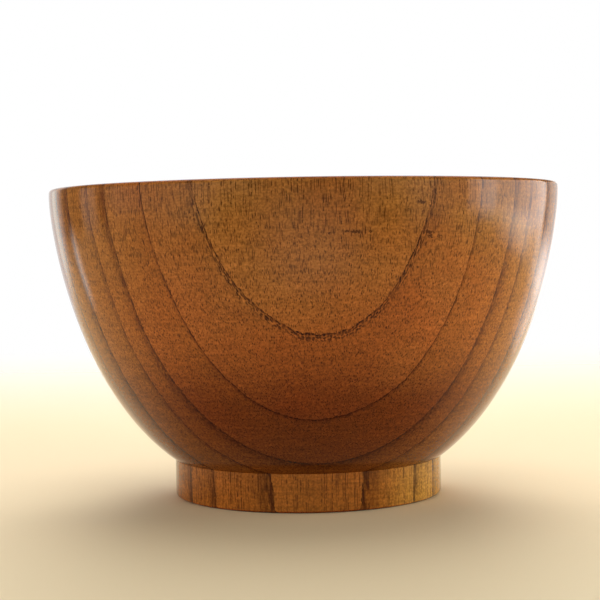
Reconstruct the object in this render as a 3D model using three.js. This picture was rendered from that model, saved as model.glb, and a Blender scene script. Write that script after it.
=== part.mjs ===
// A turned wooden bowl, in millimetres, +Z up. It stands on its foot, with the origin in the middle
// of the foot's underside. It is two turned pieces: a thin-walled body with a short spigot under its
// floor, and a foot ring that is glued round the spigot and up against the body's shoulder.

import * as THREE from 'three';

// Overall sizes
const rimDiameter = 115;
const bowlHeight = 69.5;

// Foot ring
const footDiameter = 60.6;
const footHeight = 8.4;
const footRingWidth = 6.6;
const footEdgeRadius = 0.8;

// Spigot joint between the body and the foot ring
const spigotLength = 3;
const glueGap = 0.3;

// Outside of the wall: how it leaves the foot and how it reaches the lip (leans in degrees from upright)
const wallLean = 54;
const bellyPull = 27.5;
const rimTuck = 3;
const rimPull = 7;

// Thickness of the turned wood, and the inside floor
const lipThickness = 3.2;
const lipEdgeRadius = 1.1;
const wallThickness = 5.4;
const floorThickness = 6.4;
const dishDepth = 13;

// Fineness of the turned surfaces
const turnSegments = 64;
const outerWallSteps = 18;
const innerWallSteps = 16;
const floorSteps = 9;
const edgeSteps = 3;

const bodyColour = '#8f5426';
const footColour = '#9b5f2c';
const lacquerRoughness = 0.3;

const rimRadius = rimDiameter / 2;
const footRadius = footDiameter / 2;
const boreRadius = footRadius - footRingWidth;
const spigotRadius = boreRadius - glueGap;
const spigotBottom = footHeight - spigotLength;
const floorLevel = spigotBottom + floorThickness;
const lipBase = bowlHeight - lipEdgeRadius;

// A point of a profile: its distance from the bowl's axis and its height
function at(radius, height) {
  return new THREE.Vector2(radius, height);
}

// The points of a rounded edge, which turns through a quarter circle about its centre
function roundedEdge(centre, radius, startAngle, endAngle) {
  const edge = new THREE.EllipseCurve(centre.x, centre.y, radius, radius, startAngle, endAngle, endAngle < startAngle);
  return edge.getPoints(edgeSteps);
}

// Turns a profile round the bowl's axis and stands it upright
function turned(profile) {
  return new THREE.LatheGeometry(profile, turnSegments).rotateX(Math.PI / 2);
}

function lacqueredWood(colour) {
  return new THREE.MeshStandardMaterial({ color: colour, roughness: lacquerRoughness, metalness: 0 });
}

// The outside of the wall is one smooth curve, from the foot ring's corner up to the lip
function outerWallCurve() {
  const lean = THREE.MathUtils.degToRad(wallLean);
  const tuck = THREE.MathUtils.degToRad(rimTuck);
  return new THREE.CubicBezierCurve(
    at(footRadius, footHeight),
    at(footRadius + bellyPull * Math.sin(lean), footHeight + bellyPull * Math.cos(lean)),
    at(rimRadius + rimPull * Math.sin(tuck), lipBase - rimPull * Math.cos(tuck)),
    at(rimRadius, lipBase),
  );
}

// The inside of the wall follows the outside, and thickens evenly from the lip down. Where it comes
// within the dish's depth of the floor, it turns into a rounded floor that is level in the middle.
function insideProfile(outerWall) {
  const turnLevel = floorLevel + dishDepth;
  const wall = [];
  let slope = at(0, 1);
  for (let step = 1; step < innerWallSteps; step += 1) {
    const share = 1 - step / innerWallSteps;
    const thickness = THREE.MathUtils.lerp(wallThickness, lipThickness, share);
    const along = outerWall.getTangent(share);
    const point = outerWall.getPoint(share).addScaledVector(at(-along.y, along.x), thickness);
    if (point.y < turnLevel) {
      break;
    }
    wall.push(point);
    slope = along;
  }
  const turn = wall[wall.length - 1];
  const drop = turn.y - floorLevel;
  const floor = new THREE.QuadraticBezierCurve(
    turn,
    at(turn.x - drop * (slope.x / slope.y), floorLevel),
    at(0, floorLevel),
  );
  return [...wall, ...floor.getPoints(floorSteps).slice(1)];
}

function bowlBody() {
  const outerWall = outerWallCurve();
  const innerLip = rimRadius - lipThickness + lipEdgeRadius;
  const profile = [
    at(0, spigotBottom),
    at(spigotRadius, spigotBottom),
    at(spigotRadius, footHeight),
    ...outerWall.getPoints(outerWallSteps),
    ...roundedEdge(at(rimRadius - lipEdgeRadius, lipBase), lipEdgeRadius, 0, Math.PI / 2).slice(1),
    ...roundedEdge(at(innerLip, lipBase), lipEdgeRadius, Math.PI / 2, Math.PI),
    ...insideProfile(outerWall),
  ];
  const body = new THREE.Mesh(turned(profile), lacqueredWood(bodyColour));
  body.name = 'bowl_body';
  return body;
}

function footRing() {
  const profile = [
    at(boreRadius, footHeight),
    ...roundedEdge(at(boreRadius + footEdgeRadius, footEdgeRadius), footEdgeRadius, Math.PI, 1.5 * Math.PI),
    ...roundedEdge(at(footRadius - footEdgeRadius, footEdgeRadius), footEdgeRadius, 1.5 * Math.PI, 2 * Math.PI),
    at(footRadius, footHeight),
    at(boreRadius, footHeight),
  ];
  const ring = new THREE.Mesh(turned(profile), lacqueredWood(footColour));
  ring.name = 'foot_ring';
  return ring;
}

const bowl = new THREE.Group();
bowl.name = 'wooden_bowl';
bowl.add(bowlBody(), footRing());

export default bowl;
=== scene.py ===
# %% [markdown]
# # A turned wooden bowl
#
# This is a small soup bowl, 115 mm across, turned on a lathe from an orange-brown hardwood whose fibres
# stand upright in the wall, and finished with a clear lacquer. The frame already holds its true sizes as
# two plain solids, a body and a foot ring. This lesson turns finer pieces in their place, grows the wood
# inside them, lacquers them, and then sets the floor, the light and the camera.

# %% Load the frame
from math import cos, pi, radians, sin

import bmesh
import bpy
from mathutils import Matrix, Vector
from mathutils.bvhtree import BVHTree
from mathutils.geometry import interpolate_bezier


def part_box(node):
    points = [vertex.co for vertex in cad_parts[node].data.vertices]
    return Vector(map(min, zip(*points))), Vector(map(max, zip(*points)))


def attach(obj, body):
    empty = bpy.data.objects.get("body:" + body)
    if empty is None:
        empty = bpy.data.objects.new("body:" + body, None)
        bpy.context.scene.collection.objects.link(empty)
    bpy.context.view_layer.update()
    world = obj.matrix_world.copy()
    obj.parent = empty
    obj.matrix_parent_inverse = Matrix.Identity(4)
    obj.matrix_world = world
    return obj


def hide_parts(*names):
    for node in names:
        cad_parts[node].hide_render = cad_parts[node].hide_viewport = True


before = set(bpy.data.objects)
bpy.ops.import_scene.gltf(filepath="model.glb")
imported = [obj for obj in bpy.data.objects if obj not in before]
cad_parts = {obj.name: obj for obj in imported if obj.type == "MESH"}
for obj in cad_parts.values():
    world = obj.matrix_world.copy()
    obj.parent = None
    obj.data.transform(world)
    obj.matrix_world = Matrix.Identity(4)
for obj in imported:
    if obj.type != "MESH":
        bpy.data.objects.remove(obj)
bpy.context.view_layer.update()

MM = 0.001
print("nodes in the frame:", sorted(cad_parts))

# %% [markdown]
# ## The sizes
#
# The rim, the height and the foot are read from the frame, so the finer pieces can't drift from the solids.
# What a box can't tell, such as how the wall leaves the foot, is written once here with the same values as
# the solids have. Two small things differ. The lip's edges are rounded with 0.8 mm, finer than the solid's
# 1.1 mm, and the rim is drawn in by the little that the wall swells out just under the lip, so that the piece
# stays inside the solid's box. Everything is in millimetres until a mesh is made.

# %% Sizes of the turned pieces
RIM_BULGE = 0.025
body_low, body_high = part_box("bowl_body")
foot_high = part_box("foot_ring")[1]
rim_radius = body_high.x / MM - RIM_BULGE
bowl_height = body_high.z / MM
foot_radius = foot_high.x / MM
foot_height = foot_high.z / MM
recess_height = body_low.z / MM

FOOT_RING_WIDTH = 6.6
FOOT_EDGE_RADIUS = 0.8
GLUE_GAP = 0.3
WALL_LEAN_DEG = 54
BELLY_PULL = 27.5
RIM_TUCK_DEG = 3
RIM_PULL = 7
LIP_THICKNESS = 3.2
LIP_EDGE_RADIUS = 0.8
WALL_THICKNESS = 5.4
FLOOR_THICKNESS = 6.4
DISH_DEPTH = 13

bore_radius = foot_radius - FOOT_RING_WIDTH
spigot_radius = bore_radius - GLUE_GAP
floor_level = recess_height + FLOOR_THICKNESS
lip_base = bowl_height - LIP_EDGE_RADIUS
print(f"bowl: rim {2 * rim_radius:.1f} mm, height {bowl_height:.1f} mm")
print(f"foot: {2 * foot_radius:.1f} mm across, {foot_height:.1f} mm high")

# %% [markdown]
# ## The section
#
# A lathe makes a round thing from one outline, so the bowl's shape is a half section: radius against
# height. It could be a curve object drawn by eye, or a modifier stack on a cylinder. Here each stretch is
# the curve a turner would cut: one long sweep for the outside of the wall, small rounds at the edges, and an
# inside that keeps a steady thickness and then dishes into the floor.

# %% Curves that make up the section
WALL_POINTS = 90
FLOOR_POINTS = 44
EDGE_POINTS = 9
DISH_PULL = 2 / 3


def rounded_edge(centre, radius, start_deg, end_deg):
    """Points of a small round, from one angle to another about its centre."""
    shares = [i / (EDGE_POINTS - 1) for i in range(EDGE_POINTS)]
    turn = [radians(start_deg + (end_deg - start_deg) * share) for share in shares]
    return [centre + radius * Vector((cos(a), sin(a))) for a in turn]


def wall_outside():
    """The sweep from the foot's corner to the lip."""
    lean, tuck = radians(WALL_LEAN_DEG), radians(RIM_TUCK_DEG)
    start = Vector((foot_radius, foot_height))
    end = Vector((rim_radius, lip_base))
    leaving = start + BELLY_PULL * Vector((sin(lean), cos(lean)))
    arriving = end + RIM_PULL * Vector((sin(tuck), -cos(tuck)))
    return interpolate_bezier(start, leaving, arriving, end, WALL_POINTS)


def wall_inside(outside):
    """The inside of the wall from the lip down, then the dished floor to the axis."""
    inside = []
    for i in reversed(range(1, WALL_POINTS - 1)):
        along = (outside[i + 1] - outside[i - 1]).normalized()
        thickness = WALL_THICKNESS + (LIP_THICKNESS - WALL_THICKNESS) * i / (WALL_POINTS - 1)
        point = outside[i] + thickness * Vector((-along.y, along.x))
        if point.y < floor_level + DISH_DEPTH:
            break
        inside.append(point)
        slope = along.x / along.y
    turn = inside[-1]
    corner = Vector((turn.x - (turn.y - floor_level) * slope, floor_level))
    middle = Vector((0, floor_level))
    leaving, arriving = turn.lerp(corner, DISH_PULL), middle.lerp(corner, DISH_PULL)
    dish = interpolate_bezier(turn, leaving, arriving, middle, FLOOR_POINTS)
    return inside + list(dish[1:])


outside = wall_outside()
inside = wall_inside(outside)
print(f"wall: {len(outside)} points outside, {len(inside)} inside")
print(f"belly: {outside[WALL_POINTS // 2].x:.1f} mm from the axis half way up the sweep")

# %% [markdown]
# ## Turning a section
#
# Spinning the section round the axis is what the lathe does. A screw modifier could do it, but the spin tool
# in bmesh makes plain faces at once and closes the seam, and merging the points on the axis leaves a clean
# middle. Faces are shaded smooth, and only the true corners, at the glued joint, stay sharp.

# %% Spin a section into a piece
TURN_STEPS = 288
SHARP_ABOVE_DEG = 40
MERGE_WITHIN = 0.0005 * MM


def turn_on_lathe(name, section, closed=False):
    """Spins a section round the bowl's axis and returns the piece."""
    bm = bmesh.new()
    verts = [bm.verts.new((p.x * MM, 0, p.y * MM)) for p in section]
    ends = verts[1:] + verts[:1] if closed else verts[1:]
    edges = [bm.edges.new(pair) for pair in zip(verts, ends)]
    bmesh.ops.spin(bm, geom=verts + edges, axis=(0, 0, 1), cent=(0, 0, 0), angle=2 * pi, steps=TURN_STEPS,
                   use_merge=True)
    bmesh.ops.remove_doubles(bm, verts=bm.verts, dist=MERGE_WITHIN)
    bmesh.ops.recalc_face_normals(bm, faces=bm.faces)
    mesh = bpy.data.meshes.new(name)
    bm.to_mesh(mesh)
    bm.free()
    mesh.shade_smooth()
    mesh.set_sharp_from_angle(angle=radians(SHARP_ABOVE_DEG))
    piece = bpy.data.objects.new(name, mesh)
    bpy.context.scene.collection.objects.link(piece)
    print(f"{name}: {len(mesh.vertices)} points, {len(mesh.polygons)} faces")
    return piece


print(f"lathe: {TURN_STEPS} steps a turn, {2 * pi * rim_radius / TURN_STEPS:.2f} mm each at the rim")

# %% [markdown]
# ## The body
#
# The body runs from the middle of the recess under the floor, round the spigot and its shoulder, up the
# wall, over the lip and down the inside. It could be a cut block, but one closed section makes the whole of
# it. Its lower edge is eased by a few hundredths of a millimetre, as fine sandpaper leaves it, so the glued
# joint reads as a hairline.

# %% Turn the body
JOINT_EASE = 0.04
EASE_OUT, EASE_UP = 0.2 * JOINT_EASE, 0.5 * JOINT_EASE

eased = [p for p in outside if (p - outside[0]).length > 2 * JOINT_EASE]
outer_lip = Vector((rim_radius - LIP_EDGE_RADIUS, lip_base))
inner_lip = Vector((rim_radius - LIP_THICKNESS + LIP_EDGE_RADIUS, lip_base))
body_section = [
    Vector((0, recess_height)),
    Vector((spigot_radius / 2, recess_height)),
    Vector((spigot_radius, recess_height)),
    Vector((spigot_radius, foot_height)),
    Vector((foot_radius - JOINT_EASE, foot_height)),
    Vector((foot_radius + EASE_OUT, foot_height + EASE_UP)),
    *eased,
    *rounded_edge(outer_lip, LIP_EDGE_RADIUS, 0, 90)[1:],
    *rounded_edge(inner_lip, LIP_EDGE_RADIUS, 90, 180),
    *inside,
]
body = turn_on_lathe("turned_body", body_section)
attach(body, "root")
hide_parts("bowl_body")

# %% [markdown]
# ## The foot ring
#
# The foot is a plain ring with straight sides. A tube with a bevel would do, but turned like the body it has
# the same smooth edges. It stands on a flat underside between two rounded edges, and its top edge is eased
# like the body's, so that the two meet in one fine groove.

# %% Turn the foot ring
inner_edge = Vector((bore_radius + FOOT_EDGE_RADIUS, FOOT_EDGE_RADIUS))
outer_edge = Vector((foot_radius - FOOT_EDGE_RADIUS, FOOT_EDGE_RADIUS))
foot_section = [
    Vector((bore_radius, foot_height)),
    *rounded_edge(inner_edge, FOOT_EDGE_RADIUS, 180, 270),
    *rounded_edge(outer_edge, FOOT_EDGE_RADIUS, 270, 360),
    Vector((foot_radius, foot_height - JOINT_EASE)),
    Vector((foot_radius - JOINT_EASE, foot_height)),
]
foot = turn_on_lathe("turned_foot", foot_section, closed=True)
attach(foot, "root")
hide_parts("foot_ring")

# %% [markdown]
# ## A check on the lathe
#
# A finer piece may only smooth the solid that it stands for. Comparing pictures would miss a small slip, so
# the nearest distance from each of the solid's points to the new surface is measured.

# %% Measure the pieces against the solids
for piece, node_name in ((body, "bowl_body"), (foot, "foot_ring")):
    corners = [v.co for v in piece.data.vertices]
    faces = [p.vertices for p in piece.data.polygons]
    surface = BVHTree.FromPolygons(corners, faces)
    gaps = [surface.find_nearest(v.co)[3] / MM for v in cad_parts[node_name].data.vertices]
    print(f"{piece.name}: at most {max(gaps):.2f} mm from the solid {node_name}")

# %% [markdown]
# ## One way to add a node
#
# Shader trees are easier to read when every node is added the same way: its kind, what feeds each input,
# and its settings. A colour is written as the hex value that a screen shows, and turned to linear light here.

# %% Helpers for the shader trees


def node(tree, kind, inputs=(), **settings):
    """Adds a node, makes its settings, and fills its inputs with values or with links from other nodes."""
    made = tree.nodes.new("ShaderNode" + kind)
    for name, value in settings.items():
        setattr(made, name, value)
    for key, source in dict(inputs).items():
        socket = made.inputs[key] if isinstance(key, int) else next(
            s for s in made.inputs if s.enabled and s.name == key)
        if isinstance(source, bpy.types.Node):
            source = next(s for s in source.outputs if s.enabled)
        if isinstance(source, bpy.types.NodeSocket):
            tree.links.new(source, socket)
        else:
            socket.default_value = source
    return made


def colour(hex_value):
    """A screen colour such as "#a0622f" as linear red, green, blue and alpha."""
    channels = [int(hex_value[i:i + 2], 16) / 255 for i in (1, 3, 5)]
    return [c / 12.92 if c <= 0.04045 else ((c + 0.055) / 1.055) ** 2.4 for c in channels] + [1.0]


print("orange-brown in linear light:", [round(c, 3) for c in colour("#a0622f")])

# %% [markdown]
# ## Patterns with a real size
#
# Wood varies at random, but each kind of variation has its own size: a cloud of colour is two centimetres
# long, a bundle of fibres half a millimetre wide. A noise texture counts in units of its own, so a place in
# millimetres is divided by the size that is wanted. The same noise, centred on zero, can push a place to and
# fro a little, and that makes straight things wander.

# %% Random patterns measured in millimetres
NOISE_MIDDLE = (0.5, 0.5, 0.5)


def blotches(tree, place, size, detail):
    """Soft random blotches of about the given size in mm along x, y and z."""
    sized = node(tree, "VectorMath", {0: place, 1: size}, operation="DIVIDE")
    return node(tree, "TexNoise", {"Vector": sized, "Scale": 1.0, "Detail": detail})


def strayed(tree, place, start, reach, length, detail):
    """Pushes start by up to reach mm along x, y and z, to and fro over the given length in mm."""
    noise = blotches(tree, place, (length,) * 3, detail)
    centred = node(tree, "VectorMath", {0: noise.outputs["Color"], 1: NOISE_MIDDLE}, operation="SUBTRACT")
    both_ways = [2 * r for r in reach]
    return node(tree, "VectorMath", {0: centred, 1: both_ways, 2: start}, operation="MULTIPLY_ADD")


print("patterns: blotches with a size, and places that stray")

# %% [markdown]
# ## How the wood grows
#
# The tree's middle, its pith, stood a hand's breadth in front of the bowl and leaned a few degrees. Growth
# rings are cylinders round that line, so where the round wall cuts them they show as nested U shapes on the
# near side. They aren't perfect: they sway slowly, tremble finely, and the innermost one flares towards the
# rim. An image could be wrapped on, but it would tear at the lip and the floor. A solid pattern, worked out
# for every point from its distance to the pith, runs through the wall and comes out right on every surface.

# %% Distance from the pith
PITH_AT = (5.9, -138.1)
PITH_AT_HEIGHT = 40.0
PITH_LEAN = (-0.060, 0.045)
RING_SWAY, RING_SWAY_LENGTH = 0.5, 20.0
RING_TREMBLE, RING_TREMBLE_LENGTH = 0.22, 1.3
SWAY_DETAIL = 3.0
FLARE = 0.026
FLARE_FROM, FLARE_TO = 96.0, 87.5


def pith_distance(tree, place):
    """Returns each point's flat step from the pith, and the distance in mm that its ring is counted by."""
    swayed = place
    for reach, length in ((RING_SWAY, RING_SWAY_LENGTH), (RING_TREMBLE, RING_TREMBLE_LENGTH)):
        swayed = strayed(tree, place, swayed, (reach, reach, 0), length, SWAY_DETAIL)
    height = node(tree, "SeparateXYZ", {0: place}).outputs["Z"]
    pith_base = [at - lean * PITH_AT_HEIGHT for at, lean in zip(PITH_AT, PITH_LEAN)]
    pith = node(tree, "VectorMath", {0: height, 1: (*PITH_LEAN, 1), 2: (*pith_base, 0)},
                operation="MULTIPLY_ADD")
    away = node(tree, "VectorMath", {0: swayed, 1: pith}, operation="SUBTRACT")
    flat = node(tree, "VectorMath", {0: away, 1: (1, 1, 0)}, operation="MULTIPLY")
    across = node(tree, "VectorMath", {0: flat}, operation="LENGTH").outputs["Value"]
    flaring = node(tree, "MapRange", {"Value": across, "From Min": FLARE_FROM, "From Max": FLARE_TO,
                                      "To Max": -FLARE})
    raised = node(tree, "Math", {0: height, 1: PITH_AT_HEIGHT}, operation="SUBTRACT")
    distance = node(tree, "Math", {0: flaring, 1: raised, 2: across}, operation="MULTIPLY_ADD")
    return flat, distance


print(f"pith: {Vector(PITH_AT).length:.0f} mm from the bowl's axis")

# %% [markdown]
# ## Years and seasons
#
# Years of good and poor growth leave rings of different widths, so evenly spaced rings would look drawn. The
# rings' distances from the pith are written out, and a curve turns a distance into a count of years. The
# whole part of the count is the ring's number, and the rest is the season: 0 in spring, nearly 1 at the
# year's end.

# %% Count the rings
RING_RADII = (76.0, 86.9, 96.5, 105.8, 111.5, 120.5, 128.0, 137.5,
              144.5, 154.0, 161.5, 171.0, 179.0, 188.0, 198.0)


def growth(tree, place):
    """Returns each point's season, its ring's number, and the way round the ring in mm."""
    flat, distance = pith_distance(tree, place)
    first, last, years = RING_RADII[0], RING_RADII[-1], len(RING_RADII) - 1
    share = node(tree, "MapRange", {"Value": distance, "From Min": first, "From Max": last})
    curve = node(tree, "FloatCurve", {"Value": share})
    points = curve.mapping.curves[0].points
    for i, radius in enumerate(RING_RADII[1:-1], start=1):
        points.new((radius - first) / (last - first), i / years)
    for point in points:
        point.handle_type = "VECTOR"
    curve.mapping.update()
    year = node(tree, "Math", {0: curve, 1: years}, operation="MULTIPLY")
    season = node(tree, "Math", {0: year}, operation="FRACT")
    number = node(tree, "Math", {0: year}, operation="FLOOR")
    apart = node(tree, "SeparateXYZ", {0: flat})
    turned = node(tree, "Math", {0: apart.outputs["X"], 1: apart.outputs["Y"]}, operation="ARCTAN2")
    way_round = node(tree, "Math", {0: turned, 1: distance}, operation="MULTIPLY")
    return season, number, way_round


widths = [far - near for near, far in zip(RING_RADII, RING_RADII[1:])]
print(f"{len(RING_RADII)} growth rings, {min(widths):.1f} to {max(widths):.1f} mm apart")

# %% [markdown]
# ## Pores
#
# The wood's pores are long upright tubes. A wall that stands nearly as upright as they do cuts them at a
# slant, into dashes, and a floor cuts them across, into dots. So the pores are a flat scatter of cells, the
# same at every height but for a slow wander, and the cut makes dashes and dots by itself. A tube doesn't run
# on for ever, so a noise breaks it into lengths.

# %% Scatter the pores
VESSEL_SPACING, VESSEL_RADIUS = 0.42, 0.125
# Real fine pores are under a tenth of a millimetre wide. These are twice that, so that they show.
FINE_SPACING, FINE_RADIUS = 0.30, 0.105
PORE_WANDER, PORE_WANDER_LENGTH = 0.48, 7.0
PORE_NARROW, PORE_WIDE = 0.65, 1.2
PORE_HEART = 0.4
PORE_BREAK_SIZE = (0.8, 0.8, 0.8)
BREAK_FROM, BREAK_TO = 0.36, 0.50
PORE_DETAIL = 1.0


def pores(tree, place, spacing, radius, crowding):
    """Returns how much of a pore each point is. Crowding is the share of cells that hold a pore."""
    wandered = strayed(tree, place, place, (PORE_WANDER,) * 3, PORE_WANDER_LENGTH, PORE_DETAIL)
    cells = node(tree, "TexVoronoi", {"Vector": wandered, "Scale": 1 / spacing}, voronoi_dimensions="2D")
    chance = node(tree, "SeparateColor", {0: cells.outputs["Color"]})
    kept = node(tree, "Math", {0: chance.outputs["Red"], 1: crowding}, operation="LESS_THAN")
    width = node(tree, "MapRange", {"Value": chance.outputs["Green"], "To Min": PORE_NARROW,
                                    "To Max": PORE_WIDE})
    outer = node(tree, "Math", {0: width, 1: radius / spacing}, operation="MULTIPLY")
    inner = node(tree, "Math", {0: outer, 1: PORE_HEART}, operation="MULTIPLY")
    hole = node(tree, "MapRange", {"Value": cells.outputs["Distance"], "From Min": inner, "From Max": outer,
                                   "To Min": 1.0, "To Max": 0.0}, interpolation_type="SMOOTHSTEP")
    breaks = blotches(tree, place, PORE_BREAK_SIZE, PORE_DETAIL)
    lasting = node(tree, "MapRange", {"Value": breaks, "From Min": BREAK_FROM, "From Max": BREAK_TO})
    whole = node(tree, "Math", {0: hole, 1: lasting}, operation="MULTIPLY")
    return node(tree, "Math", {0: whole, 1: kept}, operation="MULTIPLY")


print(f"pores: large ones {2 * VESSEL_RADIUS:.2f} mm wide, fine ones {2 * FINE_RADIUS:.2f} mm")

# %% [markdown]
# ## Ring lines
#
# A ring line is where one year's growth ends and the next begins with a crowd of large pores, side by side
# like beads. It could be one smooth dark stroke, but close up that looks inked. So it is one to three rows of
# dark beads with paler wood between them, and a thin dotted edge. The beads are cells laid out along the
# ring, by the way round it and the depth into the year, and they come and go in patches. Each bead is drawn
# several real pores wide, because single pores would not show in the render.

# %% Draw the ring lines
YEAR_WIDTH = 9.0
BEAD_WIDTH, BEAD_DEPTH = 0.72, 0.23
BEAD_SCATTER = 0.7
BEAD_DARK, BEAD_EDGE = 0.26, 0.54
GAP_FROM, GAP_TO = 0.46, 0.66
BEAD_STRENGTH = 0.92
THIN_ROWS, WIDE_ROWS = 1.3, 3.2
ROWS_FULL = 0.7
PATCH_SIZE = (2.2, 2.2, 2.2)
PATCH_DETAIL = 2.0
PATCH_FROM, PATCH_TO = 0.35, 0.6
PATCH_WEAK = 0.45
EDGE_WIDTH = 0.32
EDGE_FULL = 0.4
EDGE_DOTS, EDGE_BETWEEN = 0.7, 0.3


def ring_lines(tree, place, season, number, way_round):
    """Returns how dark the ring lines are, and how pale the wood between their beads is."""
    depth = node(tree, "Math", {0: season, 1: YEAR_WIDTH}, operation="MULTIPLY")
    laid = node(tree, "CombineXYZ", {"X": way_round, "Y": depth})
    sized = node(tree, "VectorMath", {0: laid, 1: (BEAD_WIDTH, BEAD_DEPTH, 1)}, operation="DIVIDE")
    cells = node(tree, "TexVoronoi", {"Vector": sized, "Scale": 1.0, "Randomness": BEAD_SCATTER},
                 voronoi_dimensions="2D").outputs["Distance"]
    patches = blotches(tree, place, PATCH_SIZE, PATCH_DETAIL)
    patchy = node(tree, "MapRange", {"Value": patches, "From Min": PATCH_FROM, "From Max": PATCH_TO,
                                     "To Min": PATCH_WEAK})
    odd = node(tree, "Math", {0: number, 1: 2}, operation="MODULO")
    rows = node(tree, "MapRange", {"Value": odd, "To Min": THIN_ROWS * BEAD_DEPTH,
                                   "To Max": WIDE_ROWS * BEAD_DEPTH})
    full_rows = node(tree, "Math", {0: rows, 1: ROWS_FULL}, operation="MULTIPLY")
    in_rows = node(tree, "MapRange", {"Value": depth, "From Min": full_rows, "From Max": rows,
                                      "To Min": 1.0, "To Max": 0.0})
    shown = node(tree, "Math", {0: in_rows, 1: patchy}, operation="MULTIPLY")
    bead = node(tree, "MapRange", {"Value": cells, "From Min": BEAD_DARK, "From Max": BEAD_EDGE,
                                   "To Min": 1.0, "To Max": 0.0}, interpolation_type="SMOOTHSTEP")
    gap = node(tree, "MapRange", {"Value": cells, "From Min": GAP_FROM, "From Max": GAP_TO},
               interpolation_type="SMOOTHSTEP")
    pale = node(tree, "Math", {0: gap, 1: shown}, operation="MULTIPLY")
    beads = node(tree, "Math", {0: bead, 1: shown}, operation="MULTIPLY")
    row = node(tree, "Math", {0: beads, 1: BEAD_STRENGTH}, operation="MULTIPLY")
    edge = node(tree, "MapRange", {"Value": depth, "From Min": EDGE_FULL * EDGE_WIDTH, "From Max": EDGE_WIDTH,
                                   "To Min": 1.0, "To Max": 0.0})
    dots = node(tree, "Math", {0: bead, 1: EDGE_DOTS, 2: EDGE_BETWEEN}, operation="MULTIPLY_ADD")
    patchy_edge = node(tree, "Math", {0: edge, 1: patchy}, operation="MULTIPLY")
    dotted_edge = node(tree, "Math", {0: patchy_edge, 1: dots}, operation="MULTIPLY")
    return node(tree, "Math", {0: row, 1: dotted_edge}, operation="MAXIMUM"), pale


print(f"ring lines: beads {BEAD_WIDTH} mm apart, rows up to {WIDE_ROWS * BEAD_DEPTH:.2f} mm deep")

# %% [markdown]
# ## Flecks
#
# High on the near side the wood has a few dark flecks, small ingrown spots that lie across the grain. They
# are the only marks on this bowl that don't repeat, so each is placed one by one, as a little lens of dark
# wood that reaches a couple of millimetres in from the surface. A ragged edge keeps them from looking painted
# on.

# %% Place the flecks
# Each fleck has its middle, and then its width and height, in mm.
FLECKS = (
    ((9.7, -55.6, 58.8), (2.6, 1.0)),
    ((7.9, -55.9, 58.9), (1.2, 0.7)),
    ((12.6, -55.0, 58.8), (1.0, 0.7)),
    ((24.0, -51.1, 58.6), (2.6, 0.9)),
    ((24.3, -51.1, 57.8), (1.1, 0.8)),
    ((26.2, -50.0, 57.8), (1.2, 0.8)),
    ((34.5, -44.6, 58.4), (1.3, 0.6)),
    ((22.6, -52.6, 64.4), (1.9, 0.9)),
)
FLECK_DEPTH = 2.5
FLECK_FLATTENED = 1.3
FLECK_DARK, FLECK_EDGE = 0.5, 1.2
FLECK_RAGGED, FLECK_RAGGED_LENGTH = 0.6, 0.4
FLECK_DETAIL = 1.0


def flecks(tree, place):
    """Returns 1 inside a fleck and 0 outside all of them."""
    ragged = strayed(tree, place, place, (FLECK_RAGGED,) * 3, FLECK_RAGGED_LENGTH, FLECK_DETAIL)
    found = 0.0
    for middle, (width, height) in FLECKS:
        offset = node(tree, "VectorMath", {0: ragged, 1: middle}, operation="SUBTRACT")
        stretch = (2 / width, 1 / FLECK_DEPTH, 2 * FLECK_FLATTENED / height)
        lens = node(tree, "VectorMath", {0: offset, 1: stretch}, operation="MULTIPLY")
        reach = node(tree, "VectorMath", {0: lens}, operation="LENGTH")
        mark = node(tree, "MapRange", {"Value": reach, "From Min": FLECK_DARK, "From Max": FLECK_EDGE,
                                       "To Min": 1.0, "To Max": 0.0}, interpolation_type="SMOOTHSTEP")
        found = node(tree, "Math", {0: mark, 1: found}, operation="MAXIMUM")
    return found


print(f"{len(FLECKS)} flecks")

# %% [markdown]
# ## The slope of the surface
#
# The fibres stand upright, so a surface that leans shows their cut ends. On the outside of the wall the lean
# grows towards the foot. The inside and the floor show cut ends too, but they count for less. A map painted
# by hand could say where this happens. The direction that the surface faces already says it. The same slope
# also places the painted shade low on the wall, where it faces down.

# %% Read the slope
INSIDE_SHARE = 0.42


def slopes(tree):
    """Returns how far the surface faces up, and how much of the fibres' ends it shows, which also places the
    painted shade.
    """
    facing = node(tree, "NewGeometry").outputs["Normal"]
    upward = node(tree, "SeparateXYZ", {0: facing}).outputs["Z"]
    falling = node(tree, "Math", {0: upward, 1: -1.0}, operation="MULTIPLY")
    rising = node(tree, "Math", {0: upward, 1: INSIDE_SHARE}, operation="MULTIPLY")
    return upward, node(tree, "Math", {0: falling, 1: rising}, operation="MAXIMUM")


print(f"slope: the inside counts for {INSIDE_SHARE:.0%} of the outside")

# %% [markdown]
# ## The wood's own colour
#
# The heart of the wood drifts between golden and russet brown in soft clouds. Wood from early in the year,
# and wood where the wall leans, is more russet, and the outer rings are golden again. One flat brown with
# lines on it would look like a print. Three browns and the rules for mixing them give the drift that the eye
# takes for wood.

# %% Mix the browns
GOLDEN_WOOD = "#a0672c"
RUSSET_WOOD = "#a0531f"
OUTER_WOOD = "#a36822"
CLOUD_SIZE = (22.0, 22.0, 22.0)
CLOUD_DETAIL = 3.0
CLOUD_FROM, CLOUD_TO = 0.32, 0.68
CLOUDS_EARLY, CLOUDS_LATE, CLOUDS_LATE_BY = 0.7, 0.35, 0.8
LEAN_FROM, LEAN_TO, LEAN_RUSSET = 0.12, 0.36, 0.7
OUTER_FROM, OUTER_TO, OUTER_SHARE = 1.0, 5.0, 0.8


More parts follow.
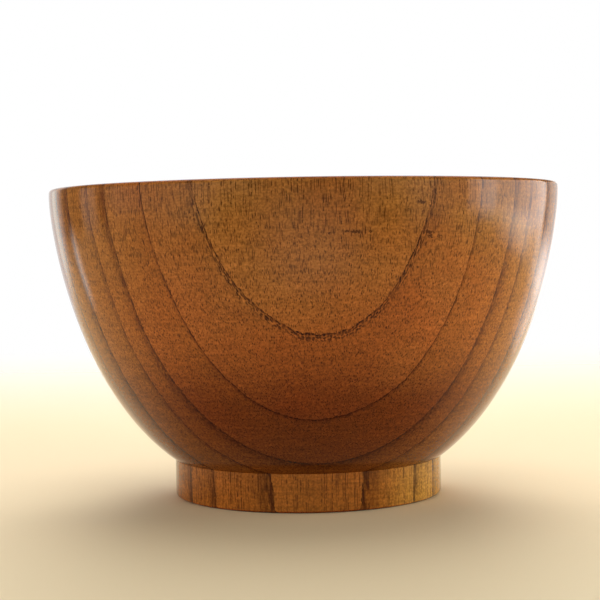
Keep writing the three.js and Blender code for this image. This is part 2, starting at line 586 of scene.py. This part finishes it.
def wood_colour(tree, place, season, number, slope):
    """Returns the colour of the plain wood between its lines and pores."""
    clouds = blotches(tree, place, CLOUD_SIZE, CLOUD_DETAIL)
    cloudy = node(tree, "MapRange", {"Value": clouds, "From Min": CLOUD_FROM, "From Max": CLOUD_TO})
    lasting = node(tree, "MapRange", {"Value": season, "From Max": CLOUDS_LATE_BY, "To Min": CLOUDS_EARLY,
                                      "To Max": CLOUDS_LATE})
    leaning = node(tree, "MapRange", {"Value": slope, "From Min": LEAN_FROM, "From Max": LEAN_TO,
                                      "To Max": LEAN_RUSSET})
    patched = node(tree, "Math", {0: cloudy, 1: lasting}, operation="MULTIPLY")
    russet = node(tree, "Math", {0: patched, 1: leaning}, operation="ADD", use_clamp=True)
    heart = node(tree, "Mix", {"Factor": russet, "A": colour(GOLDEN_WOOD), "B": colour(RUSSET_WOOD)},
                 data_type="RGBA")
    outer = node(tree, "MapRange", {"Value": number, "From Min": OUTER_FROM, "From Max": OUTER_TO,
                                    "To Max": OUTER_SHARE})
    return node(tree, "Mix", {"Factor": outer, "A": heart, "B": colour(OUTER_WOOD)}, data_type="RGBA")


print("browns:", GOLDEN_WOOD, RUSSET_WOOD, OUTER_WOOD)

# %% [markdown]
# ## Grain
#
# Close up, the wood has three fine textures: upright fibres, the faint level marks that turning and sanding
# leave round the bowl, and specks of many cells. Each year also starts a little darker than it ends. All of
# it only lightens and darkens the wood, so it is one number, and not a mix of more colours.

# %% Shade the grain
# Each texture has its size, and then how dark and how light it makes the wood. Real fibres are a few
# hundredths of a millimetre wide, so these stand for bundles of them, coarse enough to show.
FIBRES = ((0.5, 0.5, 6.0), 0.92, 1.08)
TURNING_MARKS = ((7.0, 7.0, 0.55), 0.86, 1.14)
SPECKS = ((0.45, 0.45, 0.45), 0.72, 1.31)
GRAIN_DETAIL = 1.5
GRAIN_FROM, GRAIN_TO = 0.3, 0.7
SPRING, AUTUMN = 0.05, 0.95
SPRING_SHADE, AUTUMN_SHADE = 0.90, 1.04


def grain_shade(tree, place, season):
    """Returns how much lighter or darker than plain the grain makes each point."""
    shade = node(tree, "MapRange", {"Value": season, "From Min": SPRING, "From Max": AUTUMN,
                                    "To Min": SPRING_SHADE, "To Max": AUTUMN_SHADE})
    for size, dark, light in (FIBRES, TURNING_MARKS, SPECKS):
        grain = blotches(tree, place, size, GRAIN_DETAIL)
        streak = node(tree, "MapRange", {"Value": grain, "From Min": GRAIN_FROM, "From Max": GRAIN_TO,
                                         "To Min": dark, "To Max": light})
        shade = node(tree, "Math", {0: streak, 1: shade}, operation="MULTIPLY")
    return shade


print("grain: fibres, turning marks and specks")

# %% [markdown]
# ## Dark bands
#
# After some ring lines the wood stays dark and reddish for a while, most of all after every second one. A
# clean stripe would look painted, so the band fades into the year, and an upright mottle breaks it up.

# %% Darken the bands
FIRST_BAND = 0.02
BAND_STARTS, HEAVY_GROWN = 1.0, 3.0
MOTTLE_SIZE = (0.7, 0.7, 3.0)
MOTTLE_DETAIL = 2.0
MOTTLE_FROM, MOTTLE_TO = 0.35, 0.65
MOTTLE_FAINT, MOTTLE_FULL = 0.3, 1.1
UNTOUCHED = (1, 1, 1, 1)


def dark_bands(tree, place, season, number, share, grown, heavy, tint):
    """Returns the bands' tint.

    A band lasts for a share of its year from the ring numbered grown on, and for heavy more after odd rings.
    """
    odd = node(tree, "Math", {0: number, 1: 2}, operation="MODULO")
    plain = node(tree, "MapRange", {"Value": number, "From Min": BAND_STARTS, "From Max": grown,
                                    "To Min": FIRST_BAND, "To Max": share})
    wider = node(tree, "MapRange", {"Value": number, "From Min": BAND_STARTS, "From Max": HEAVY_GROWN,
                                    "To Max": heavy})
    width = node(tree, "Math", {0: odd, 1: wider, 2: plain}, operation="MULTIPLY_ADD")
    in_band = node(tree, "MapRange", {"Value": season, "From Max": width, "To Min": 1.0, "To Max": 0.0},
                   interpolation_type="SMOOTHSTEP")
    mottle = blotches(tree, place, MOTTLE_SIZE, MOTTLE_DETAIL)
    mottled = node(tree, "MapRange", {"Value": mottle, "From Min": MOTTLE_FROM, "From Max": MOTTLE_TO,
                                      "To Min": MOTTLE_FAINT, "To Max": MOTTLE_FULL})
    banding = node(tree, "Math", {0: in_band, 1: mottled}, operation="MULTIPLY")
    return node(tree, "Mix", {"Factor": banding, "A": UNTOUCHED, "B": (*tint, 1)}, data_type="RGBA")


print(f"dark bands: mottled every {MOTTLE_SIZE[0]} mm round the bowl")

# %% [markdown]
# ## Open pores
#
# Pores fill with dark finish and dust, so each is a dark dash in the wood. More of them open early in the
# year. They could be cut into the mesh, but at a quarter of a millimetre that would take millions of faces,
# so they darken the colour here, and the large ones also dent the surface when the wood is put together.

# %% Darken the pores
PORE_DARK = "#3b1a0a"
FINE_PORE = "#55280d"
EARLY_UNTIL = 0.45
EARLY_CROWDING, LATE_CROWDING = 1.0, 0.75
FINE_CROWDING = 0.75
FINE_STRENGTH = 0.85
PORE_STRENGTH = 0.82


def pored_wood(tree, place, season, wood):
    """Returns the wood with its pores and flecks, and how much of a large pore each point is."""
    crowding = node(tree, "MapRange", {"Value": season, "From Max": EARLY_UNTIL, "To Min": EARLY_CROWDING,
                                       "To Max": LATE_CROWDING})
    pore = pores(tree, place, VESSEL_SPACING, VESSEL_RADIUS, crowding)
    fine_pore = pores(tree, place, FINE_SPACING, FINE_RADIUS, FINE_CROWDING)
    faint = node(tree, "Math", {0: fine_pore, 1: FINE_STRENGTH}, operation="MULTIPLY")
    fined = node(tree, "Mix", {"Factor": faint, "A": wood, "B": colour(FINE_PORE)}, data_type="RGBA")
    flecked = node(tree, "Math", {0: pore, 1: flecks(tree, place)}, operation="MAXIMUM")
    dark = node(tree, "Math", {0: flecked, 1: PORE_STRENGTH}, operation="MULTIPLY")
    pored = node(tree, "Mix", {"Factor": dark, "A": fined, "B": colour(PORE_DARK)}, data_type="RGBA")
    return pored, pore


print(f"open pores: {LATE_CROWDING:.0%} of the large cells late in the year, all of them early")

# %% [markdown]
# ## Finish that soaks in, with painted shade and sheen
#
# Lacquer sits on top of long fibres, but their cut ends drink it. Low on the wall, where it turns under to
# the foot and faces down, the wood is darker and redder, partly for that soaked end grain and partly as
# painted shade, and the dense outer rings drink less. Where the wall leans it is painted a little brighter,
# a painted sheen, and where it stands upright near the rim, or faces up, it is painted a little darker.
# Both follow the slope, so they need no painted mask.

# %% Soak the finish, and paint shade and sheen
# A tint is the share of red, green and blue light that is left.
# Partly the real darkening of soaked end grain, and partly painted shade low on the wall where it faces down.
SOAK_AND_SHADE_TINT = (0.52, 0.375, 0.34)
SOAK_SHADE_FROM, SOAK_SHADE_TO = 0.34, 0.54
THIRST_FROM, THIRST_TO, OUTER_THIRST = 2.0, 4.0, 0.72
# A painted sheen: the leaning wall is painted brighter, and the upright wall and upward faces darker.
SHEEN_FROM, SHEEN_TO = -0.06, -0.30
PAINTED_UPRIGHT_SHADE, PAINTED_SHEEN_LEVEL = 0.88, 1.03


def soak_and_painted_light(tree, number, upward, slope):
    """Returns the tint of the soaked finish, with painted shade where the wall faces down and a painted
    sheen.
    """
    # Painted sheen, set by which way the surface faces.
    painted_sheen = node(tree, "MapRange", {"Value": upward, "From Min": SHEEN_FROM, "From Max": SHEEN_TO,
                                    "To Min": PAINTED_UPRIGHT_SHADE, "To Max": PAINTED_SHEEN_LEVEL},
                 interpolation_type="SMOOTHSTEP")
    # Painted shade together with the soak: darker and redder where the surface faces down.
    soaked_and_shaded = node(tree, "MapRange", {"Value": slope, "From Min": SOAK_SHADE_FROM, "From Max": SOAK_SHADE_TO},
                  interpolation_type="SMOOTHSTEP")
    thirst = node(tree, "MapRange", {"Value": number, "From Min": THIRST_FROM, "From Max": THIRST_TO,
                                     "To Min": 1.0, "To Max": OUTER_THIRST})
    soak_and_shade = node(tree, "Math", {0: soaked_and_shaded, 1: thirst}, operation="MULTIPLY")
    tint = node(tree, "Mix", {"Factor": soak_and_shade, "A": UNTOUCHED, "B": (*SOAK_AND_SHADE_TINT, 1)}, data_type="RGBA")
    return node(tree, "VectorMath", {0: tint, "Scale": painted_sheen}, operation="SCALE")


print(f"soaked wood keeps {SOAK_AND_SHADE_TINT[0]:.0%} of its red light and {SOAK_AND_SHADE_TINT[2]:.0%} of its blue")

# %% [markdown]
# ## Painted light on the foot's right side
#
# On the foot's right the wood is painted paler and more golden, as painted light from that side. It could be
# one more ring tone, but on the body the same rings stay brown, so the foot has a slow change of its own.

# %% Fade to the painted light on the foot's right
# Painted light: between these places along x, the foot's wood is painted paler and more golden.
PALE_FROM, PALE_TO = 12.0, 27.0


def painted_light_side(tree, place, tint):
    """Returns the painted light that makes the wood paler and more golden towards +x."""
    sideways = node(tree, "SeparateXYZ", {0: place}).outputs["X"]
    towards = node(tree, "MapRange", {"Value": sideways, "From Min": PALE_FROM, "From Max": PALE_TO},
                   interpolation_type="SMOOTHSTEP")
    return node(tree, "Mix", {"Factor": towards, "A": UNTOUCHED, "B": (*tint, 1)}, data_type="RGBA")


print(f"paler side: from {PALE_FROM:.0f} to {PALE_TO:.0f} mm right of the axis")

# %% [markdown]
# ## Lacquered hardwood
#
# The wood is a ring-porous hardwood: warm orange-brown, turned, sanded and sprayed with a clear lacquer. The
# eye sees the wood's colour through the lacquer, and the room mirrored in it. The lacquer is smooth and
# clear, so it is a coat over the shader and not part of its colour. A thick gloss coat has an IOR of about
# 1.5. This one is thin and was rubbed down, and mirrors less, so its IOR is lower. The coat gives all the
# gloss, so the wood under it has none of its own.

# %% Put the wood together
RING_LINE = "#2e1409"
PALE_GAPS = 0.35
PORE_DEPTH = 0.03
DENT_STRENGTH = 0.5
WOOD_ROUGHNESS = 0.5
LACQUER_ROUGHNESS = 0.10
LACQUER_IOR = 1.28


def lacquered_hardwood(name, tint, bands, painted_light=None):
    """The wood and its lacquer as one material. The tint multiplies the wood's colour, and on the foot it is
    partly painted shade. The painted light, if given, brightens the wood towards +x.
    """
    material = bpy.data.materials.new(name)
    material.use_nodes = True
    tree = material.node_tree
    tree.nodes.clear()
    where = node(tree, "TexCoord").outputs["Object"]
    place = node(tree, "VectorMath", {0: where, "Scale": 1 / MM}, operation="SCALE")
    season, number, way_round = growth(tree, place)
    upward, slope = slopes(tree)

    wood = wood_colour(tree, place, season, number, slope)
    tinted = node(tree, "VectorMath", {0: wood, 1: tint}, operation="MULTIPLY")
    drawn, pale = ring_lines(tree, place, season, number, way_round)
    between = node(tree, "Math", {0: pale, 1: PALE_GAPS, 2: 1.0}, operation="MULTIPLY_ADD")
    shade = node(tree, "Math", {0: grain_shade(tree, place, season), 1: between}, operation="MULTIPLY")
    shaded = node(tree, "VectorMath", {0: tinted, "Scale": shade}, operation="SCALE")
    band = dark_bands(tree, place, season, number, **bands)
    banded = node(tree, "VectorMath", {0: shaded, 1: band}, operation="MULTIPLY")
    lined = node(tree, "Mix", {"Factor": drawn, "A": banded, "B": colour(RING_LINE)}, data_type="RGBA")
    pored, pore = pored_wood(tree, place, season, lined)
    soak_shade_and_sheen = soak_and_painted_light(tree, number, upward, slope)
    finished = node(tree, "VectorMath", {0: pored, 1: soak_shade_and_sheen}, operation="MULTIPLY")
    if painted_light:
        lit_side = painted_light_side(tree, place, painted_light)
        finished = node(tree, "VectorMath", {0: finished, 1: lit_side}, operation="MULTIPLY")

    level = node(tree, "Math", {0: 1.0, 1: pore}, operation="SUBTRACT")
    dents = node(tree, "Bump", {"Height": level, "Distance": PORE_DEPTH * MM, "Strength": DENT_STRENGTH})
    surface = node(tree, "BsdfPrincipled", {
        "Base Color": finished, "Roughness": WOOD_ROUGHNESS, "Specular IOR Level": 0.0, "Normal": dents,
        "Coat Weight": 1.0, "Coat Roughness": LACQUER_ROUGHNESS, "Coat IOR": LACQUER_IOR})
    node(tree, "OutputMaterial", {"Surface": surface})
    print(f"{name}: {len(tree.nodes)} nodes")
    return material


print(f"lacquer: IOR {LACQUER_IOR}, roughness {LACQUER_ROUGHNESS}")

# %% [markdown]
# ## Two pieces of one wood
#
# Body and foot are the same wood from the same place, so they share one pattern and their rings line up. The
# foot is a little darker and redder, partly as painted shade under the belly, its dark bands are deeper and
# equally wide after every ring, and its right side is painted paler, as painted light. Two materials made by
# one function keep what is shared in step.

# %% Lacquer the body and the foot
BODY_TINT = (1.0, 1.0, 1.0)
BODY_BANDS = {"share": 0.20, "grown": 4.0, "heavy": 0.38, "tint": (0.45, 0.34, 0.31)}
# The foot's tint: partly painted shade, for the shade under the belly's overhang, and partly a redder tone.
FOOT_TINT_AND_SHADE = (0.84, 0.68, 0.64)
FOOT_BANDS = {"share": 0.30, "grown": 2.0, "heavy": 0.0, "tint": (0.26, 0.20, 0.18)}
# Painted light on the foot's right side: red, green and blue are multiplied by these.
FOOT_PAINTED_LIGHT = (1.42, 2.15, 2.5)

body_wood = lacquered_hardwood("lacquered_hardwood_body", BODY_TINT, BODY_BANDS)
foot_wood = lacquered_hardwood("lacquered_hardwood_foot", FOOT_TINT_AND_SHADE, FOOT_BANDS, FOOT_PAINTED_LIGHT)
body.data.materials.append(body_wood)
foot.data.materials.append(foot_wood)

# %% [markdown]
# ## The floor
#
# The bowl stands on a plain pale floor. A plane with an edge would draw a hard horizon behind it, and a
# curved backdrop would bring its own shading. So the floor is a large disc that turns clear on its way out
# and melts into the white behind it, and only the bowl's shadow shows on it.

# %% Make the floor
FLOOR_RADIUS = 0.8
FLOOR_SEGMENTS = 96

floor_mesh = bpy.data.meshes.new("floor")
bm = bmesh.new()
bmesh.ops.create_circle(bm, cap_ends=True, segments=FLOOR_SEGMENTS, radius=FLOOR_RADIUS)
bm.to_mesh(floor_mesh)
bm.free()
floor = bpy.data.objects.new("floor", floor_mesh)
bpy.context.scene.collection.objects.link(floor)
print(f"floor: {2 * FLOOR_RADIUS:.1f} m across")

# %% [markdown]
# ## Matt paint for the floor
#
# The floor is a smooth board with matt paint, which gives the eye an even cream tone and no mirror image. To
# the camera and in the lacquer it is cream. The light that it throws up on the bowl is held back by a darker
# tone, because a cream floor this large and this close would wash out the shade under the belly.

# %% Paint the floor
FLOOR_CREAM = "#ecd9b4"
FLOOR_BOUNCE = "#5e5040"
FLOOR_ROUGHNESS = 0.7
FLOOR_SPECULAR = 0.2
# Each direction has the distance in metres where the floor begins to clear, and where it is clear.
FLOOR_FADES = (
    ((0, 1, 0), 0.10, 0.50),
    ((1, 0, 0), 0.28, 0.60),
    ((-1, 0, 0), 0.28, 0.60),
    ((0, -1, 0), 0.10, 0.24),
)


def ways_seen(tree):
    """Returns whether the camera sees a point directly, and whether it does so by a mirror or glass."""
    path = node(tree, "LightPath").outputs
    mirrored = node(tree, "Math", {0: path["Is Glossy Ray"], 1: path["Is Transmission Ray"]},
                    operation="MAXIMUM")
    return path["Is Camera Ray"], mirrored


floor_material = bpy.data.materials.new("pale_matt_floor")
floor_material.use_nodes = True
tree = floor_material.node_tree
tree.nodes.clear()
spot = node(tree, "TexCoord").outputs["Object"]
fade = 0.0
for towards, near, far in FLOOR_FADES:
    out = node(tree, "VectorMath", {0: spot, 1: towards}, operation="DOT_PRODUCT").outputs["Value"]
    fading = node(tree, "MapRange", {"Value": out, "From Min": near, "From Max": far},
                  interpolation_type="SMOOTHSTEP")
    fade = node(tree, "Math", {0: fading, 1: fade}, operation="MAXIMUM")
straight, mirrored = ways_seen(tree)
seen = node(tree, "Math", {0: mirrored, 1: straight}, operation="MAXIMUM")
tone = node(tree, "Mix", {"Factor": seen, "A": colour(FLOOR_BOUNCE), "B": colour(FLOOR_CREAM)},
            data_type="RGBA")
paint = node(tree, "BsdfPrincipled", {"Base Color": tone, "Roughness": FLOOR_ROUGHNESS,
                                      "Specular IOR Level": FLOOR_SPECULAR})
clear = node(tree, "BsdfTransparent")
blended = node(tree, "MixShader", {0: fade, 1: paint, 2: clear})
node(tree, "OutputMaterial", {"Surface": blended})
floor.data.materials.append(floor_material)
print(f"{floor_material.name}: {len(tree.nodes)} nodes")

# %% [markdown]
# ## The room
#
# The camera sees plain white behind the bowl. A white room all round would also be mirrored all over the
# lacquer and turn the wood milky, so the room is dim, dimmer still below, and only a stretch behind the bowl
# is white in the lacquer too. That draws the bright edges that the rim and the wall have.

# %% Light the room
# These are levels of glow, where 1 is white.
ROOM_GLOW = (0.16, 0.16, 0.16, 1)
ROOM_BELOW = (0.05, 0.045, 0.04, 1)
ROOM_LEVEL_FROM, ROOM_LEVEL_TO = -0.20, -0.05
BACKDROP_WHITE = (1, 1, 1, 1)
BACKDROP_TOWARDS = (-0.17, 0.985, 0)
BACKDROP_FROM, BACKDROP_TO = 0.80, 0.875

world = bpy.data.worlds.new("room")
bpy.context.scene.world = world
world.use_nodes = True
tree = world.node_tree
tree.nodes.clear()
direction = node(tree, "TexCoord").outputs["Generated"]
height = node(tree, "SeparateXYZ", {0: direction}).outputs["Z"]
above = node(tree, "MapRange", {"Value": height, "From Min": ROOM_LEVEL_FROM, "From Max": ROOM_LEVEL_TO},
             interpolation_type="SMOOTHSTEP")
room = node(tree, "Mix", {"Factor": above, "A": ROOM_BELOW, "B": ROOM_GLOW}, data_type="RGBA")
ahead = node(tree, "VectorMath", {0: direction, 1: BACKDROP_TOWARDS}, operation="DOT_PRODUCT")
behind = node(tree, "MapRange", {"Value": ahead.outputs["Value"], "From Min": BACKDROP_FROM,
                                 "From Max": BACKDROP_TO}, interpolation_type="SMOOTHSTEP")
straight, mirrored = ways_seen(tree)
mirrored_behind = node(tree, "Math", {0: behind, 1: mirrored}, operation="MULTIPLY")
white = node(tree, "Math", {0: mirrored_behind, 1: straight}, operation="MAXIMUM")
glow = node(tree, "Mix", {"Factor": white, "A": room, "B": BACKDROP_WHITE}, data_type="RGBA")
background = node(tree, "Background", {"Color": glow, "Strength": 1.0})
node(tree, "OutputWorld", {"Surface": background})
print(f"{world.name}: dim in front, white behind, {len(tree.nodes)} nodes")

# %% [markdown]
# ## Soft panels
#
# A soft panel is a lamp behind a large sheet of diffusing cloth, brightest in the middle. A plain area lamp
# has a hard edge, and the lacquer would mirror that edge, so each panel fades out over its feather. Its
# brightness is written as what the lacquer mirrors, and the lamp's power follows from that and its area.

# %% Make a soft panel
PANEL_AIM = Vector((0, 0, 0.035))
WATTS_PER_GLOW = 4.0
HALF = 0.5


def soft_panel(name, azimuth_deg, elevation_deg, distance, width, height, brightness, feather, tint):
    """A lamp with soft edges that faces the bowl. Azimuth 0 is the camera's side and 90 is on its right."""
    lamp = bpy.data.lights.new(name, "AREA")
    lamp.shape = "RECTANGLE"
    lamp.size, lamp.size_y = width, height
    lamp.energy = brightness * width * height * WATTS_PER_GLOW
    lamp.color = colour(tint)[:3]
    lamp.use_nodes = True
    tree = lamp.node_tree
    tree.nodes.clear()
    across = node(tree, "SeparateXYZ", {0: node(tree, "NewGeometry").outputs["Parametric"]}).outputs
    glow = 1.0
    for side in ("X", "Y"):
        from_edge = node(tree, "Math", {0: across[side], 1: HALF}, operation="PINGPONG")
        fading = node(tree, "MapRange", {"Value": from_edge, "From Max": feather},
                      interpolation_type="SMOOTHSTEP")
        glow = node(tree, "Math", {0: fading, 1: glow}, operation="MULTIPLY")
    shine = node(tree, "Emission", {"Strength": glow})
    node(tree, "OutputLight", {"Surface": shine})
    holder = bpy.data.objects.new(name, lamp)
    bpy.context.scene.collection.objects.link(holder)
    a, e = radians(azimuth_deg), radians(elevation_deg)
    out = Vector((sin(a) * cos(e), -cos(a) * cos(e), sin(e)))
    holder.location = PANEL_AIM + distance * out
    holder.rotation_euler = out.to_track_quat("Z", "Y").to_euler()
    holder.visible_camera = False
    print(f"{name}: {width:.2f} x {height:.2f} m, {lamp.energy:.2f} W")
    return holder


print(f"panels aim {PANEL_AIM.z / MM:.0f} mm above the floor")

# %% [markdown]
# ## Light for the wood, and something to mirror
#
# The wood wants an even, soft light, mostly from both front sides. The lacquer wants something to mirror:
# tall bright panels beside and behind the bowl, which draw the long highlights along its edges. One set of
# lamps could do both, but then each change to a highlight would change the wood's colour. So the first set
# lights the wood and isn't mirrored, and the second is mirrored and doesn't light it. Low on the wall the
# lacquer mirrors only what stands close to the bowl, so small cards stand there.

# %% Set up the panels
# Each panel has its name, azimuth and elevation in degrees, distance, width and height in metres, brightness,
# feather as a share of its size, and tint.
LIGHTING = (
    ("right_front_panel", 42, 9, 1.0, 0.9, 0.5, 6.0, 0.3, "#eaf8ee"),
    ("left_front_panel", -38, 9, 1.0, 0.8, 0.5, 5.7, 0.3, "#fff8f2"),
    ("left_side_panel", -95, 3, 0.8, 0.7, 0.24, 8.8, 0.3, "#fff2e6"),
    ("right_side_panel", 104, 6, 0.8, 0.7, 0.24, 5.2, 0.3, "#ffffff"),
    ("right_low_panel", 96, -1, 0.5, 0.3, 0.10, 26.0, 0.3, "#ffeebc"),
    ("back_panel", 178, 36, 1.0, 1.0, 0.6, 7.2, 0.3, "#ffffff"),
    ("top_panel", 175, 78, 0.9, 0.9, 0.9, 2.1, 0.3, "#ffffff"),
)
MIRRORED = (
    ("ceiling_panel", 180, 65, 0.9, 1.5, 1.2, 2.0, 0.3, "#ffffff"),
    ("room_card", 2, -1, 0.12, 0.115, 0.085, 0.6, 0.45, "#ffffff"),
    ("right_haze", 60, 0, 0.7, 0.6, 0.46, 0.65, 0.3, "#f0f8ff"),
    ("left_haze", -65, 0, 0.7, 0.9, 0.42, 0.7, 0.25, "#e0f2f0"),
    ("right_tall_panel", 104, 6, 0.7, 0.75, 0.46, 2.8, 0.08, "#ffffff"),
    ("right_bright_panel", 80, 6, 0.7, 0.22, 0.46, 2.4, 0.10, "#ffffff"),
    ("right_edge_panel", 146, 2, 0.6, 0.40, 0.34, 0.85, 0.25, "#f0f6f8"),
    ("right_low_card", 99, -2.6, 0.25, 0.17, 0.05, 1.9, 0.4, "#ffffff"),
    ("right_card", 121, -5, 0.13, 0.075, 0.06, 0.82, 0.4, "#e6f0ff"),
    ("right_back_card", 124, -2.2, 0.2, 0.12, 0.042, 0.8, 0.4, "#ffffff"),
    ("left_tall_panel", -105, 2, 0.7, 0.2, 0.42, 0.7, 0.3, "#ffffff"),
    ("left_edge_panel", -142, 2, 0.6, 0.14, 0.30, 0.8, 0.3, "#e6f6ec"),
    ("left_strip", -104, -1, 0.13, 0.016, 0.048, 1.5, 0.4, "#ffffff"),
)
for panel in LIGHTING:
    soft_panel(*panel).visible_glossy = False
for panel in MIRRORED:
    soft_panel(*panel).visible_diffuse = False

# %% [markdown]
# ## The camera
#
# The photograph was taken from just below the lip's height with a long lens, tipped down a little and a
# shade out of level. The lens, the place and both tilts together put the rim and the foot where they are in
# the picture. A shifted lens could stand in for the tilt, but it would also shift every other view.

# %% Set the camera
FRAME_PIXELS = 600
FOCAL_PIXELS = 1512
SENSOR_WIDTH = 36
CAMERA_AT = (-1.285, -345.8, 56.34)
PITCH_DOWN_DEG = 2.064
ROLL_DEG = 0.936
NEAREST_SEEN = 10

lens = bpy.data.cameras.new("camera")
lens.sensor_width = SENSOR_WIDTH
lens.lens = SENSOR_WIDTH * FOCAL_PIXELS / FRAME_PIXELS
lens.clip_start = NEAREST_SEEN * MM
camera = bpy.data.objects.new("camera", lens)
bpy.context.scene.collection.objects.link(camera)
tilt = Matrix.Rotation(radians(90 - PITCH_DOWN_DEG), 4, "X") @ Matrix.Rotation(radians(-ROLL_DEG), 4, "Z")
camera.matrix_world = Matrix.Translation(Vector(CAMERA_AT) * MM) @ tilt
bpy.context.scene.camera = camera
bpy.context.scene.view_settings.view_transform = "Standard"
print(f"camera: {lens.lens:.1f} mm lens, {camera.location.length / MM:.0f} mm from the bowl's foot")
